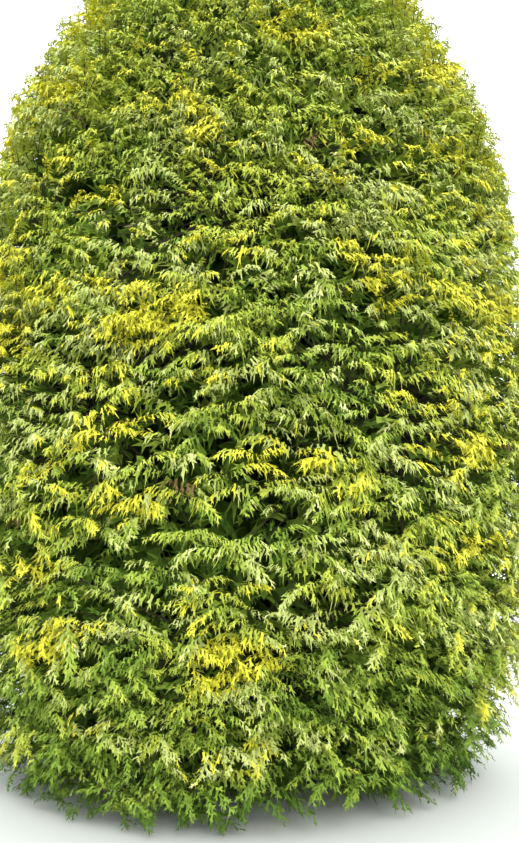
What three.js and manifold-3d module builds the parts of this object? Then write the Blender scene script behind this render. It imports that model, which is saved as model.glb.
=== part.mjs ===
// A golden cypress standing in a garden, free-grown and leafy to the ground: one trunk, the boughs that
// leave it, and the masses of drooping sprays that the boughs carry. Millimetres, +Z up, the foot of the
// trunk at the origin. The tree's front faces -Y.
import * as THREE from "three";
import { mergeVertices } from "three/addons/utils/BufferGeometryUtils.js";
import Module from "manifold-3d";

const wasm = await Module();
wasm.setup();

// The crown's outline: a broad, blunt egg that closes a little towards the ground.
const TREE_HEIGHT = 8300;
const CROWN_RADIUS = 2690;
const WIDEST_HEIGHT = 3600;
const SIDE_REACH_BELOW = 4750;
const TOP_FULLNESS = 2.25;
const FOOT_FULLNESS = 3;
const OUTLINE_ROUNDING = 1 / 1.65;
const OUTLINE_WAVES = [
  { count: 2, depth: 0.02, phase: 0.6, climb: 0.0003 },
  { count: 5, depth: 0.016, phase: 2.1, climb: -0.0007 },
];

// The trunk.
const TRUNK_RADIUS = 160;
const TRUNK_TIP_RADIUS = 9;
const TRUNK_TAPER = 0.95;
const TRUNK_TOP = 8140;
const ROOT_FLARE = 95;
const FLARE_HEIGHT = 190;
const FLARE_LOBES = 5;
const FLARE_LOBE_DEPTH = 0.16;
const TRUNK_LEAN = 70;
const TRUNK_SWAY = 28;
const TRUNK_SIDES = 14;
const TRUNK_STEPS = 18;

// Each tier of masses: where it starts on the crown's side, how many masses go round it, how many shelves
// of sprays each has, and how far below its masses its boughs leave the trunk for each millimetre that
// they run outwards. The masses of the two topmost tiers grow straight from the trunk.
const TIERS = [
  { name: "skirt", base: 60, masses: 6, shelves: 4, boughRise: 0.12 },
  { name: "lower", base: 1700, masses: 6, shelves: 4, boughRise: 0.42 },
  { name: "middle", base: 3350, masses: 6, shelves: 4, boughRise: 0.58 },
  { name: "upper", base: 4950, masses: 5, shelves: 4, boughRise: 0.72 },
  { name: "top", base: 6450, masses: 3, shelves: 4 },
  { name: "leader", base: 7680, masses: 1, shelves: 3 },
];
const TIER_TWIST = 0.5;
const LOWEST_BOUGH = 420;

// How the crown's layers lie: shelves that droop outwards near the ground, and rise outwards at the top,
// where everything is also closer to the outline.
const CLIMB_POWER = 2;
const LAYER_SLOPE_FOOT = 0.45;
const LAYER_SLOPE_TOP = -1.2;
const DEPTH_SHARE_TOP = 0.5;

// The boughs, and the stem by which each mass grows on from its bough.
const BOUGH_RADIUS = 46;
const BOUGH_TIP_SHARE = 0.5;
const TOP_STEM_RADIUS = 17;
const STEM_RUN = 260;
const STEM_RISE = 0.27;
const STEM_SUNK = 110;
const LIMB_SIDES = 5;
const BOUGH_STEPS = 3;
const STEM_SIDES = 4;
const TWIGS_PER_STEM = 2;
const TWIG_RADIUS = 11;
const CLEARANCE = 0.3;

// The dense core of a mass, a cushion behind the sprays, in depths below the crown's outline.
const CORE_FACE = 345;
const CORE_BACK = 610;
const CORE_RIM_FACE = 400;
const CORE_RIM_BACK = 550;
const CORE_SIDE_MARGIN = 9;
const CORE_MARGIN = 25;
const CORE_LUMP = 75;
const DEEPEST_SHARE = 0.62;
const LEADER_CORE_FROM = -0.9;
const LEADER_CORE_TO = 0.8;

// The sprays: drooping fans of five fingers, each standing for the end of one leafy branch.
const SPRAY_SPACING = 960;
const SPRAY_STAGGER = 0.25;
const SPOT_CHANCE = 0.08;
const SPRAY_ROOT_DEPTH = 490;
const SPRAY_SHORTEST = 0.82;
const SPRAY_THICKNESS = 0.04;
const SPRAY_ARCH = 0.13;
const SPRAY_APEX = 0.4;
const SPRAY_RISE_FOOT = 0.05;
const SPRAY_RISE_TOP = 0.95;
const SPRAY_DROOP_FOOT = 0.85;
const SPRAY_DROOP_TOP = 0.1;
const SPRAY_RISE_CHANCE = 0.15;
const SPRAY_ROLL = 0.3;
const SPRAY_TURN = 0.3;
const SPRAY_TRIES = 6;
const SPRAY_SHRINK = 0.92;
const SPRAY_DRAW_IN = 0.9;
const SPACE_MARGIN = 14;
const GROUND_MARGIN = 12;
const ANCHOR_SPREAD = 0.96;
const FINGERS = [
  { angle: 0, length: 1 },
  { angle: 0.52, length: 1 },
  { angle: 1.02, length: 0.9 },
];
const NOTCHES = [
  { angle: 0.26, length: 0.72 },
  { angle: 0.78, length: 0.64 },
];
const SEED = 4171;

const BARK = new THREE.MeshStandardMaterial({ color: 0x6b5140, roughness: 0.95, metalness: 0 });
const FOLIAGE = new THREE.MeshStandardMaterial({ color: 0x93a63a, roughness: 0.75, metalness: 0 });

/** A repeatable stream of numbers from 0 to 1. */
function seededRandom(seed) {
  let state = seed >>> 0;
  return () => {
    state = (state + 0x6d2b79f5) >>> 0;
    let t = Math.imul(state ^ (state >>> 15), state | 1);
    t ^= t + Math.imul(t ^ (t >>> 7), t | 61);
    return ((t ^ (t >>> 14)) >>> 0) / 4294967296;
  };
}

const mix = THREE.MathUtils.lerp;

/** How far the crown's habit has turned from drooping to rising at a height, from 0 to 1. */
function climb(height) {
  return Math.max(height / TREE_HEIGHT, 0) ** CLIMB_POWER;
}

/** How much a layer rises for each millimetre inwards, at the height where it meets the outline. */
function layerSlope(height) {
  return mix(LAYER_SLOPE_FOOT, LAYER_SLOPE_TOP, climb(height));
}

/** How far the crown reaches from the trunk at a height on its side, towards an azimuth. */
function crownReach(height, azimuth) {
  const above = height > WIDEST_HEIGHT;
  const span = above ? TREE_HEIGHT - WIDEST_HEIGHT : SIDE_REACH_BELOW;
  const away = Math.min(Math.abs(height - WIDEST_HEIGHT) / span, 1);
  const outline = (1 - away ** (above ? TOP_FULLNESS : FOOT_FULLNESS)) ** OUTLINE_ROUNDING;
  const waves = OUTLINE_WAVES.map((w) => w.depth * Math.cos(w.count * azimuth + w.phase + w.climb * height));
  return CROWN_RADIUS * outline * (1 + waves[0] + waves[1]);
}

/** The trunk's centre at a height: a slight lean and one slow bend. */
function trunkCentre(height) {
  const t = height / TRUNK_TOP;
  return new THREE.Vector3(TRUNK_LEAN * t ** 1.5, TRUNK_SWAY * Math.sin(Math.PI * 1.6 * t), height);
}

/** The trunk's radius at a height, towards an azimuth: taper, and a lobed flare at the ground. */
function trunkRadius(height, azimuth) {
  const taper = mix(TRUNK_TIP_RADIUS, TRUNK_RADIUS, (1 - height / TRUNK_TOP) ** TRUNK_TAPER);
  const flare = Math.exp(-height / FLARE_HEIGHT);
  return taper + ROOT_FLARE * flare * (1 + FLARE_LOBE_DEPTH * Math.cos(FLARE_LOBES * azimuth + 0.4));
}

/** A closed solid from a three.js geometry, its shared vertices merged. */
function solidFrom(geometry) {
  const index = new Uint32Array(geometry.index.array);
  return new wasm.Manifold(
    new wasm.Mesh({ numProp: 3, vertProperties: geometry.attributes.position.array, triVerts: index }),
  );
}

/** A geometry of shared positions only, each of them moved by a function of where it was. */
function reshaped(geometry, move) {
  geometry.deleteAttribute("normal");
  geometry.deleteAttribute("uv");
  const merged = mergeVertices(geometry);
  const place = merged.attributes.position;
  for (let i = 0; i < place.count; i++) {
    const moved = move(new THREE.Vector3().fromBufferAttribute(place, i));
    place.setXYZ(i, moved.x, moved.y, moved.z);
  }
  return merged;
}

/** A limb: a cylinder laid along a path, with a radius for each share of the way and each azimuth. */
function limb(pathAt, radiusAt, sides, steps) {
  return solidFrom(
    reshaped(new THREE.CylinderGeometry(1, 1, 1, sides, steps), (p) => {
      const t = p.y + 0.5;
      const { centre, forward } = pathAt(t);
      const across = new THREE.Vector3(0, 1, 0).cross(forward);
      if (Math.abs(forward.z) < 0.999) across.set(-forward.y, forward.x, 0);
      across.normalize();
      const up = new THREE.Vector3().crossVectors(across, forward);
      const azimuth = Math.atan2(p.z, p.x);
      const radius = radiusAt(t, azimuth) * Math.hypot(p.x, p.z);
      return centre
        .addScaledVector(across, radius * Math.cos(azimuth))
        .addScaledVector(up, radius * Math.sin(azimuth));
    }),
  );
}

/** The trunk, or the trunk grown by a clearance to cut its neighbours with. */
function trunkSolid(grown) {
  const flat = new THREE.Vector3(0, 0, 1);
  return solidFrom(
    reshaped(new THREE.CylinderGeometry(1, 1, 1, TRUNK_SIDES, TRUNK_STEPS), (p) => {
      const height = TRUNK_TOP * (p.y + 0.5) ** 1.7;
      const azimuth = Math.atan2(-p.z, p.x);
      const radius = (trunkRadius(height, azimuth) + grown) * Math.hypot(p.x, p.z);
      const side = new THREE.Vector3(radius * Math.cos(azimuth), radius * Math.sin(azimuth), 0);
      return trunkCentre(height).addScaledVector(flat, grown * Math.sign(p.y)).add(side);
    }),
  );
}

/** How far in from the outline a depth lies: less near the top, and less again where the crown closes. */
function inwardsAt(height, azimuth, depth) {
  const deepest = crownReach(height, azimuth) * DEEPEST_SHARE;
  return Math.min(depth * mix(1, DEPTH_SHARE_TOP, climb(height)), (deepest * depth) / CORE_BACK);
}

/** A point of a mass's space: across and along run from -1 to 1, depth is below the crown's outline. */
function spacePoint(mass, across, along, depth) {
  const height = mix(mass.low, mass.high, (along + 1) / 2);
  const azimuth = mass.azimuth + across * mass.halfAngle;
  const reach = crownReach(height, azimuth);
  const inwards = inwardsAt(height, azimuth, depth);
  const z = height + layerSlope(height) * inwards;
  const centre = trunkCentre(Math.min(z, TRUNK_TOP));
  return new THREE.Vector3(
    centre.x + (reach - inwards) * Math.cos(azimuth),
    centre.y + (reach - inwards) * Math.sin(azimuth),
    z,
  );
}

/** The height at which the layer that a point lies in meets the crown's outline. */
function layerHeight(z, out, azimuth) {
  let below = -TIERS[1].base;
  let above = TREE_HEIGHT;
  for (let pass = 0; pass < 14; pass++) {
    const middle = (below + above) / 2;
    const inwards = Math.max(crownReach(middle, azimuth) - out, 0);
    if (middle + layerSlope(middle) * inwards > z) above = middle;
    else below = middle;
  }
  return (below + above) / 2;
}

/** Whether a point keeps to a mass's own space, clear of its neighbours, the outline and the ground. */
function inSpace(mass, point) {
  if (point.z < GROUND_MARGIN || point.z > TREE_HEIGHT) return false;
  const centre = trunkCentre(Math.min(point.z, TRUNK_TOP));
  const out = Math.hypot(point.x - centre.x, point.y - centre.y);
  const azimuth = Math.atan2(point.y - centre.y, point.x - centre.x);
  const turn = Math.abs(Math.atan2(Math.sin(azimuth - mass.azimuth), Math.cos(azimuth - mass.azimuth)));
  const height = layerHeight(point.z, out, azimuth);
  const beside = mass.halfAngle < Math.PI && out * Math.sin(mass.halfAngle - turn) < SPACE_MARGIN;
  return (
    !beside &&
    out < crownReach(height, azimuth) + 1 &&
    height > (mass.lowest ? -CORE_BACK : mass.low + SPACE_MARGIN) &&
    height < mass.high - (mass.highest ? 0 : SPACE_MARGIN)
  );
}

/** The dense cushion behind a mass's sprays: a block bent round the crown, thick in the middle. */
function coreSolid(mass, random) {
  const lumps = [random(), random(), random()].map((r) => r * Math.PI * 2);
  const middle = (mass.low + mass.high) / 2;
  const inAcross = 1 - CORE_SIDE_MARGIN / (crownReach(middle, mass.azimuth) * mass.halfAngle);
  const inAlong = 1 - CORE_MARGIN / ((mass.high - mass.low) / 2);
  return solidFrom(
    reshaped(new THREE.BoxGeometry(2, 2, 2, 3, 3, 1), (p) => {
      const fullness = (1 - Math.abs(p.x) ** 3) * (1 - Math.abs(p.y) ** 3);
      const lump = CORE_LUMP * Math.sin(2.3 * p.x + lumps[0]) * Math.sin(2.1 * p.y + lumps[1]);
      const face = mix(CORE_RIM_FACE, CORE_FACE + lump, fullness);
      const back = mix(CORE_RIM_BACK, CORE_BACK, fullness);
      return spacePoint(mass, p.x * inAcross, p.y * inAlong, p.z > 0 ? face : back);
    }),
  );
}

/** The leader's dense core: a dome round the trunk's top, closed at the middle. */
function leaderCore(mass) {
  return solidFrom(
    reshaped(new THREE.CylinderGeometry(1, 1, 1, 10, 3), (p) => {
      const azimuth = Math.atan2(-p.z, p.x);
      const along = mix(LEADER_CORE_FROM, LEADER_CORE_TO, p.y + 0.5);
      const rim = spacePoint(mass, (azimuth - mass.azimuth) / mass.halfAngle, along, CORE_FACE);
      return Math.hypot(p.x, p.z) > 0.5 ? rim : trunkCentre(Math.min(rim.z, TRUNK_TOP)).setZ(rim.z);
    }),
  );
}

/** The places where a mass's sprays are rooted: staggered rows, one for each of its shelves. */
function spraySpots(mass) {
  const rows = mass.tier.shelves;
  return Array.from({ length: rows }, (_, row) => {
    const v = (2 * (row + 0.5)) / rows - 1;
    const width = 2 * mass.halfAngle * crownReach(mix(mass.low, mass.high, (v + 1) / 2), mass.azimuth);
    const columns = Math.max(Math.round(width / SPRAY_SPACING), 1);
    const shift = columns > 1 ? SPRAY_STAGGER * (row % 2 ? 1 : -1) : 0;
    return Array.from({ length: columns }, (__, column) => ({
      u: (2 * (column + 0.5 + shift)) / columns - 1,
      v,
      cell: { u: 2 / columns, v: 2 / rows },
    }));
  }).flat();
}

/** Where a spray is rooted and which way it grows: its spot in the shelf, with a little chance in it. */
function sprayPlan(mass, spot, random) {
  const u = (spot.u + (random() - 0.5) * 2 * SPOT_CHANCE * spot.cell.u) * ANCHOR_SPREAD;
  const v = (spot.v + (random() - 0.5) * 2 * SPOT_CHANCE * spot.cell.v) * ANCHOR_SPREAD;
  const height = mix(mass.low, mass.high, (v + 1) / 2);
  const azimuth = mass.azimuth + u * mass.halfAngle;
  const climbed = climb(height);
  const rise = mix(SPRAY_RISE_FOOT, SPRAY_RISE_TOP, climbed) + (random() - 0.5) * SPRAY_RISE_CHANCE;
  const outwards = inwardsAt(height, azimuth, SPRAY_ROOT_DEPTH) * mix(SPRAY_SHORTEST, 1, random());
  return {
    root: { u, v },
    azimuth: azimuth + (random() - 0.5) * SPRAY_TURN,
    rise,
    length: outwards / Math.cos(rise),
    droop: mix(SPRAY_DROOP_FOOT, SPRAY_DROOP_TOP, climbed),
    roll: (random() - 0.5) * SPRAY_ROLL,
  };
}

/** A point of a spray's fan in its own frame: forwards and sideways from the root, with its droop. */
function fanPoint(frame, forwards, sideways, lift) {
  const far = Math.hypot(forwards, sideways);
  return frame.root
    .clone()
    .addScaledVector(frame.forward, forwards)
    .addScaledVector(frame.side, sideways)
    .addScaledVector(frame.up, lift)
    .add(new THREE.Vector3(0, 0, (-frame.droop * far * far) / frame.length));
}

/** One spray: a two-sided cone of ten edges, pulled out into five pointed, drooping fingers. */
function spraySolid(frame) {
  return solidFrom(
    reshaped(new THREE.SphereGeometry(1, 10, 2), (p) => {
      if (Math.abs(p.y) > 0.5) {
        const lift = SPRAY_ARCH + (p.y > 0 ? SPRAY_THICKNESS : 0);
        return fanPoint(frame, SPRAY_APEX * frame.length, 0, lift * frame.length);
      }
      const edge = Math.round(Math.atan2(p.z, p.x) / (Math.PI / 5));
      const step = Math.abs(edge);
      if (step === 5) return frame.root.clone();
      const { angle, length } = step % 2 ? NOTCHES[(step - 1) / 2] : FINGERS[step / 2];
      const reach = length * frame.length;
      return fanPoint(frame, reach * Math.cos(angle), -Math.sign(edge) * reach * Math.sin(angle), 0);
    }),
  );
}

/** The directions of a spray: forward along its branch, side level across it, up from its face. */
function sprayFrame(mass, plan, tries) {
  const u = plan.root.u * SPRAY_DRAW_IN ** tries;
  const v = plan.root.v * SPRAY_DRAW_IN ** tries;
  const flat = new THREE.Vector3(Math.cos(plan.azimuth), Math.sin(plan.azimuth), 0);
  const forward = flat.clone().multiplyScalar(Math.cos(plan.rise));
  forward.z = Math.sin(plan.rise);
  const level = new THREE.Vector3(-flat.y, flat.x, 0);
  const side = level.applyAxisAngle(forward, plan.roll);
  return {
    root: spacePoint(mass, u, v, SPRAY_ROOT_DEPTH),
    forward,
    side,
    up: new THREE.Vector3().crossVectors(forward, side),
    length: plan.length * SPRAY_SHRINK ** tries,
    droop: plan.droop,
  };
}

/** The sprays of a mass, each made smaller until it keeps to the mass's space, or left out. */
function spraysOf(mass, random) {
  const sprays = [];
  for (const spot of spraySpots(mass)) {
    const plan = sprayPlan(mass, spot, random);
    for (let tries = 0; tries < SPRAY_TRIES; tries++) {
      const frame = sprayFrame(mass, plan, tries);
      const tips = [...FINGERS, ...NOTCHES].flatMap(({ angle, length }) =>
        [-1, 1].map((way) => {
          const reach = length * frame.length;
          return fanPoint(frame, reach * Math.cos(angle), way * reach * Math.sin(angle), 0);
        }),
      );
      const lift = (SPRAY_ARCH + SPRAY_THICKNESS) * frame.length;
      const crest = fanPoint(frame, SPRAY_APEX * frame.length, 0, lift);
      if ([...tips, crest].every((tip) => inSpace(mass, tip))) {
        sprays.push(spraySolid(frame));
        break;
      }
    }
  }
  return sprays;
}

/** The one body of a solid that counts: hollows that fusing sealed are filled and scraps dropped. */
function wholeBody(solid) {
  const bodies = solid.decompose();
  return bodies.sort((a, b) => b.volume() - a.volume())[0];
}

/** A bough's path: from the trunk's centre, rising outwards, to the foot of its mass's stem. */
function boughPath(mass, rise) {
  const back = spacePoint(mass, 0, 0, CORE_BACK);
  const centre = trunkCentre(back.z);
  const out = back.clone().sub(centre).setZ(0).normalize();
  const run = Math.hypot(back.x - centre.x, back.y - centre.y);
  const tip = back.clone().addScaledVector(out, -STEM_RUN);
  tip.z -= STEM_RUN * STEM_RISE;
  const start = trunkCentre(Math.max(tip.z - rise * run, LOWEST_BOUGH + 40 * mass.number));
  const elbow = start.clone().lerp(tip, 0.55);
  elbow.z += 0.07 * run;
  return new THREE.QuadraticBezierCurve3(start, elbow, tip);
}

/** A mass's stem, from its bough's tip or the trunk to well inside its core, and the twigs off it. */
function stemAndTwigs(mass, from, direction, radius, random) {
  const target = spacePoint(mass, 0, 0, CORE_BACK - STEM_SUNK);
  const elbow = from.clone().addScaledVector(direction, from.distanceTo(target) * 0.5);
  const curve = new THREE.QuadraticBezierCurve3(from, elbow, target);
  const pathAt = (t) => ({ centre: curve.getPoint(t), forward: curve.getTangent(t) });
  const stem = limb(pathAt, (t) => mix(radius, radius * 0.7, t), STEM_SIDES, 1);
  const twigs = Array.from({ length: TWIGS_PER_STEM }, (_, number) => {
    const turn = (2 * Math.PI * (number + 0.6 * random())) / TWIGS_PER_STEM;
    const start = curve.getPoint(0.25 + 0.2 * random());
    const end = spacePoint(mass, 0.45 * Math.cos(turn), 0.45 * Math.sin(turn), CORE_BACK - STEM_SUNK);
    const forward = end.clone().sub(start).normalize();
    const twigAt = (t) => ({ centre: start.clone().lerp(end, t), forward });
    return limb(twigAt, (t) => mix(TWIG_RADIUS, TWIG_RADIUS * 0.6, t), 3, 1);
  });
  return [stem, ...twigs];
}

/** A mesh of a finished solid, as one named sub-part. */
function part(name, solid, material) {
  const made = solid.getMesh();
  const geometry = new THREE.BufferGeometry()
    .setAttribute("position", new THREE.BufferAttribute(new Float32Array(made.vertProperties), 3))
    .setIndex(new THREE.BufferAttribute(new Uint32Array(made.triVerts), 1));
  geometry.computeVertexNormals();
  const mesh = new THREE.Mesh(geometry, material);
  mesh.name = name;
  return mesh;
}

/** Every mass of the crown: its tier, its number in the tier and the space that it keeps to. */
function massesOfCrown() {
  return TIERS.flatMap((tier, level) => {
    const above = TIERS[level + 1];
    return Array.from({ length: tier.masses }, (_, number) => ({
      tier,
      number,
      level,
      low: tier.base,
      high: above ? above.base : TREE_HEIGHT,
      lowest: level === 0,
      highest: !above,
      halfAngle: Math.PI / tier.masses,
      azimuth: -Math.PI / 2 + ((number + TIER_TWIST * (level % 2)) * 2 * Math.PI) / tier.masses,
    }));
  });
}

const tree = new THREE.Group();
const trunk = trunkSolid(0);
const trunkWithClearance = trunkSolid(CLEARANCE);
tree.add(part("trunk", trunk, BARK));

for (const mass of massesOfCrown()) {
  const random = seededRandom(SEED + 101 * mass.level + 13 * mass.number);
  const label = mass.tier.masses > 1 ? `${mass.tier.name}_${mass.number + 1}` : mass.tier.name;
  let limbs;
  if (mass.tier.boughRise === undefined) {
    const start = trunkCentre(spacePoint(mass, 0, -0.6, CORE_BACK).z - 260);
    const outwards = new THREE.Vector3(Math.cos(mass.azimuth), Math.sin(mass.azimuth), 0.9).normalize();
    limbs = stemAndTwigs(mass, start, outwards, TOP_STEM_RADIUS, random);
  } else {
    const path = boughPath(mass, mass.tier.boughRise);
    const thick = BOUGH_RADIUS * (1 - 0.5 * (path.v0.z / TREE_HEIGHT));
    const tip = thick * BOUGH_TIP_SHARE;
    const pathAt = (t) => ({ centre: path.getPoint(t), forward: path.getTangent(t) });
    const bough = limb(pathAt, (t) => mix(thick, tip, t), LIMB_SIDES, BOUGH_STEPS);
    tree.add(part(`bough_${label}`, wholeBody(bough.subtract(trunkWithClearance)), BARK));
    const end = path.getPoint(1);
    const onwards = path.getTangent(1);
    limbs = stemAndTwigs(mass, end.addScaledVector(onwards, CLEARANCE), onwards, tip, random);
  }
  const core = mass.halfAngle < Math.PI ? coreSolid(mass, random) : leaderCore(mass);
  const leafy = [core, ...limbs, ...spraysOf(mass, random)].reduce((whole, piece) => whole.add(piece));
  tree.add(part(`foliage_${label}`, wholeBody(leafy.subtract(trunkWithClearance)), FOLIAGE));
}

export default tree;
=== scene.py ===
"""A golden cypress as it stands in a garden, leafy to the ground, dressed for the render.

The trunk and boughs get their bark, and each mass of foliage is grown again by the source's rule: a stem
that goes on from its bough, twigs to every shelf, drooping fronds and, on them, sprays of fine toothed
branchlets. Everything is in metres, with +Z up and the foot of the trunk at the origin. The tree's front
faces -Y.
"""

import logging
import math
from collections.abc import Callable
from dataclasses import dataclass
from enum import Enum
from typing import NamedTuple

import bmesh
import bpy
import numpy as np
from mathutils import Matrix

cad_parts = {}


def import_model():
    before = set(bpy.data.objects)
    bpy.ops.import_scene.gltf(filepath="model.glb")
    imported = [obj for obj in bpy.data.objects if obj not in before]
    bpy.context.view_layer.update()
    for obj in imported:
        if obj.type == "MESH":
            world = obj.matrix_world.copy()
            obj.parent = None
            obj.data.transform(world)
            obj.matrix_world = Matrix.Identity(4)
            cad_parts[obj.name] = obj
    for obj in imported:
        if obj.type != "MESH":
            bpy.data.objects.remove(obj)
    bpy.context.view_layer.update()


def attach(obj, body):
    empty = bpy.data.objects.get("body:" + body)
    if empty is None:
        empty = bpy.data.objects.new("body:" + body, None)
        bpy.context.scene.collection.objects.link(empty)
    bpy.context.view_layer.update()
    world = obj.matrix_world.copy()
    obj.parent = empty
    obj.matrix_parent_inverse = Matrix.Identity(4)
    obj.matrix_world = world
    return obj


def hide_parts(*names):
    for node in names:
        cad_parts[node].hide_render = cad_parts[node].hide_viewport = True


Array = np.ndarray
Amount = np.ndarray | float
Chance = np.random.Generator
Span = tuple[float, float]
Colour = tuple[float, float, float]
Pair = tuple[Array, Array]

# The least length that is divided by, the ends of a random phase, and how near the ground a leaf comes
TINY = 1e-9
ANY_PHASE = (0, 6.28)
LOWEST = 0.012

log = logging.getLogger("golden_cypress")


def mix(first: Amount, second: Amount, share: Amount) -> Amount:
    """The value that lies a share of the way from the first to the second."""
    return first + (second - first) * share


def unit(vectors: Array) -> Array:
    """The vectors at a length of one."""
    return vectors / np.maximum(np.linalg.norm(vectors, axis=-1, keepdims=True), TINY)


def heading(azimuth: Amount) -> Array:
    """The level direction of each azimuth."""
    return np.stack([np.cos(azimuth), np.sin(azimuth), 0 * azimuth], axis=-1)


def left_of(way: Array) -> Array:
    """The level vector to the left of each direction."""
    return np.stack([-way[:, 1], way[:, 0], 0 * way[:, 0]], axis=-1)


def either_side(chance: Chance, count: int) -> Array:
    """One or minus one, by chance."""
    return np.where(chance.random(count) < 0.5, -1, 1)


@dataclass(frozen=True)
class SlowNoise:
    """A smooth, patchy value from about -1 to 1. Its pace is in radians to the metre."""

    pace: float
    seed: int
    upright: float = 1.0
    waves: int = 7
    paces: Span = (0.6, 1.9)
    scale: float = 2.6

    def at(self, points: Array) -> Array:
        """Reads the pattern, which changes more quickly upwards than sideways where upright is over one.

        Args:
            points: where it is read.

        Returns:
            One value for each point.
        """
        chance = np.random.default_rng(self.seed)
        total = np.zeros(points.shape[:-1])
        for _ in range(self.waves):
            way = unit(chance.normal(size=3)) * self.pace * chance.uniform(*self.paces)
            total += np.sin(points * (1, 1, self.upright) @ way + chance.uniform(*ANY_PHASE))
        return total / self.scale


@dataclass(frozen=True)
class Wave:
    """One slow bulge that runs round the crown's outline."""

    count: int
    depth: float
    phase: float
    climb: float

    def at(self, height: Amount, azimuth: Amount) -> Amount:
        """How far the bulge stands out, as a share of the crown's reach."""
        return self.depth * np.cos(self.count * azimuth + self.phase + self.climb * height)


@dataclass(frozen=True)
class CrownForm:
    """The crown's outline and how its layers lie, with the sizes of the part's source."""

    height: float = 8.3
    radius: float = 2.69
    widest: float = 3.6
    side_reach_below: float = 4.75
    top_fullness: float = 2.25
    foot_fullness: float = 3.0
    rounding: float = 1 / 1.65
    waves: tuple[Wave, ...] = (Wave(2, 0.02, 0.6, 0.3), Wave(5, 0.016, 2.1, -0.7))
    climb_power: float = 2.0
    slope_foot: float = 0.45
    slope_top: float = -1.2
    depth_share_top: float = 0.5
    deepest_share: float = 0.62
    core_back: float = 0.61
    stem_sunk: float = 0.11
    shoulder: float = 0.3

    def climb(self, height: Amount) -> Amount:
        """How far the habit has turned from drooping to rising at a height, from 0 to 1."""
        return np.clip(height / self.height, 0, 1) ** self.climb_power

    def layer_slope(self, height: Amount) -> Amount:
        """How much a layer rises for each metre inwards."""
        return mix(self.slope_foot, self.slope_top, self.climb(height))

    def reach(self, height: Amount, azimuth: Amount) -> Amount:
        """How far the crown reaches from the trunk.

        Args:
            height: the height on the crown's side.
            azimuth: the direction, in radians from +X.

        Returns:
            The reach in metres.
        """
        above = np.asarray(height) > self.widest
        span = np.where(above, self.height - self.widest, self.side_reach_below)
        fullness = np.where(above, self.top_fullness, self.foot_fullness)
        away = np.clip(np.abs(height - self.widest) / span, 0, 1)
        outline = (1 - away**fullness) ** self.rounding
        return self.radius * outline * (1 + sum(wave.at(height, azimuth) for wave in self.waves))

    def top_over(self, out: Array) -> Array:
        """The height of the crown's top surface at a distance from the trunk."""
        away = (1 - np.clip(out / self.radius, 0, 1) ** (1 / self.rounding)) ** (1 / self.top_fullness)
        return self.widest + away * (self.height - self.widest)

    def inwards(self, height: Array, azimuth: Array, depth: Amount) -> Array:
        """How far in from the outline a depth lies, less near the top and where the crown closes.

        Args:
            height: where the layer meets the outline.
            azimuth: the direction.
            depth: the depth as it is lower down on the tree.

        Returns:
            The horizontal distance from the outline.
        """
        deepest = self.reach(height, azimuth) * self.deepest_share
        lessened = depth * mix(1, self.depth_share_top, self.climb(height))
        return np.minimum(lessened, deepest * depth / self.core_back)


@dataclass(frozen=True)
class TrunkForm:
    """The trunk's taper, flare and lean, with the sizes of the part's source."""

    radius: float = 0.16
    tip_radius: float = 0.009
    taper: float = 0.95
    top: float = 8.14
    flare: float = 0.095
    flare_height: float = 0.19
    flare_lobes: int = 5
    lobe_depth: float = 0.16
    lobe_turn: float = 0.4
    lean: float = 0.07
    lean_power: float = 1.5
    sway: float = 0.028
    bend: float = math.pi * 1.6

    def centre(self, height: Amount) -> Array:
        """The trunk's middle at each height, with its slight lean and one slow bend."""
        up = np.clip(height / self.top, 0, None)
        return np.stack([self.lean * up**self.lean_power, self.sway * np.sin(self.bend * up), height], -1)

    def radius_at(self, height: Array, azimuth: Array) -> Array:
        """The trunk's radius: its taper, and a lobed flare at the ground.

        Args:
            height: the height of each point of the bark.
            azimuth: its direction from the trunk's middle.

        Returns:
            The radii in metres.
        """
        taper = mix(self.tip_radius, self.radius, (1 - height / self.top) ** self.taper)
        lobes = 1 + self.lobe_depth * np.cos(self.flare_lobes * azimuth + self.lobe_turn)
        return taper + self.flare * np.exp(-height / self.flare_height) * lobes


@dataclass(frozen=True)
class Tier:
    """One ring of foliage masses, and how steeply its boughs rise to it, or None where it has none."""

    name: str
    base: float
    masses: int
    bough_rise: float | None = None


TIERS = (
    Tier("skirt", 0.06, 6, 0.12),
    Tier("lower", 1.7, 6, 0.42),
    Tier("middle", 3.35, 6, 0.58),
    Tier("upper", 4.95, 5, 0.72),
    Tier("top", 6.45, 3),
    Tier("leader", 7.68, 1),
)


@dataclass(frozen=True)
class Mass:
    """One mass of foliage and the space of the crown that it keeps to."""

    tier: Tier
    level: int
    number: int
    low: float
    high: float

    @property
    def half_angle(self) -> float:
        """Half of the angle that the mass fills round the trunk."""
        return math.pi / self.tier.masses

    @property
    def azimuth(self) -> float:
        """The direction of the middle of the mass. Every second tier is turned by half a mass."""
        twist = 0.5 * (self.level % 2)
        return -math.pi / 2 + (self.number + twist) * 2 * math.pi / self.tier.masses

    @property
    def label(self) -> str:
        """The name that the mass shares with its bough."""
        return f"{self.tier.name}_{self.number + 1}" if self.tier.masses > 1 else self.tier.name


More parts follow.
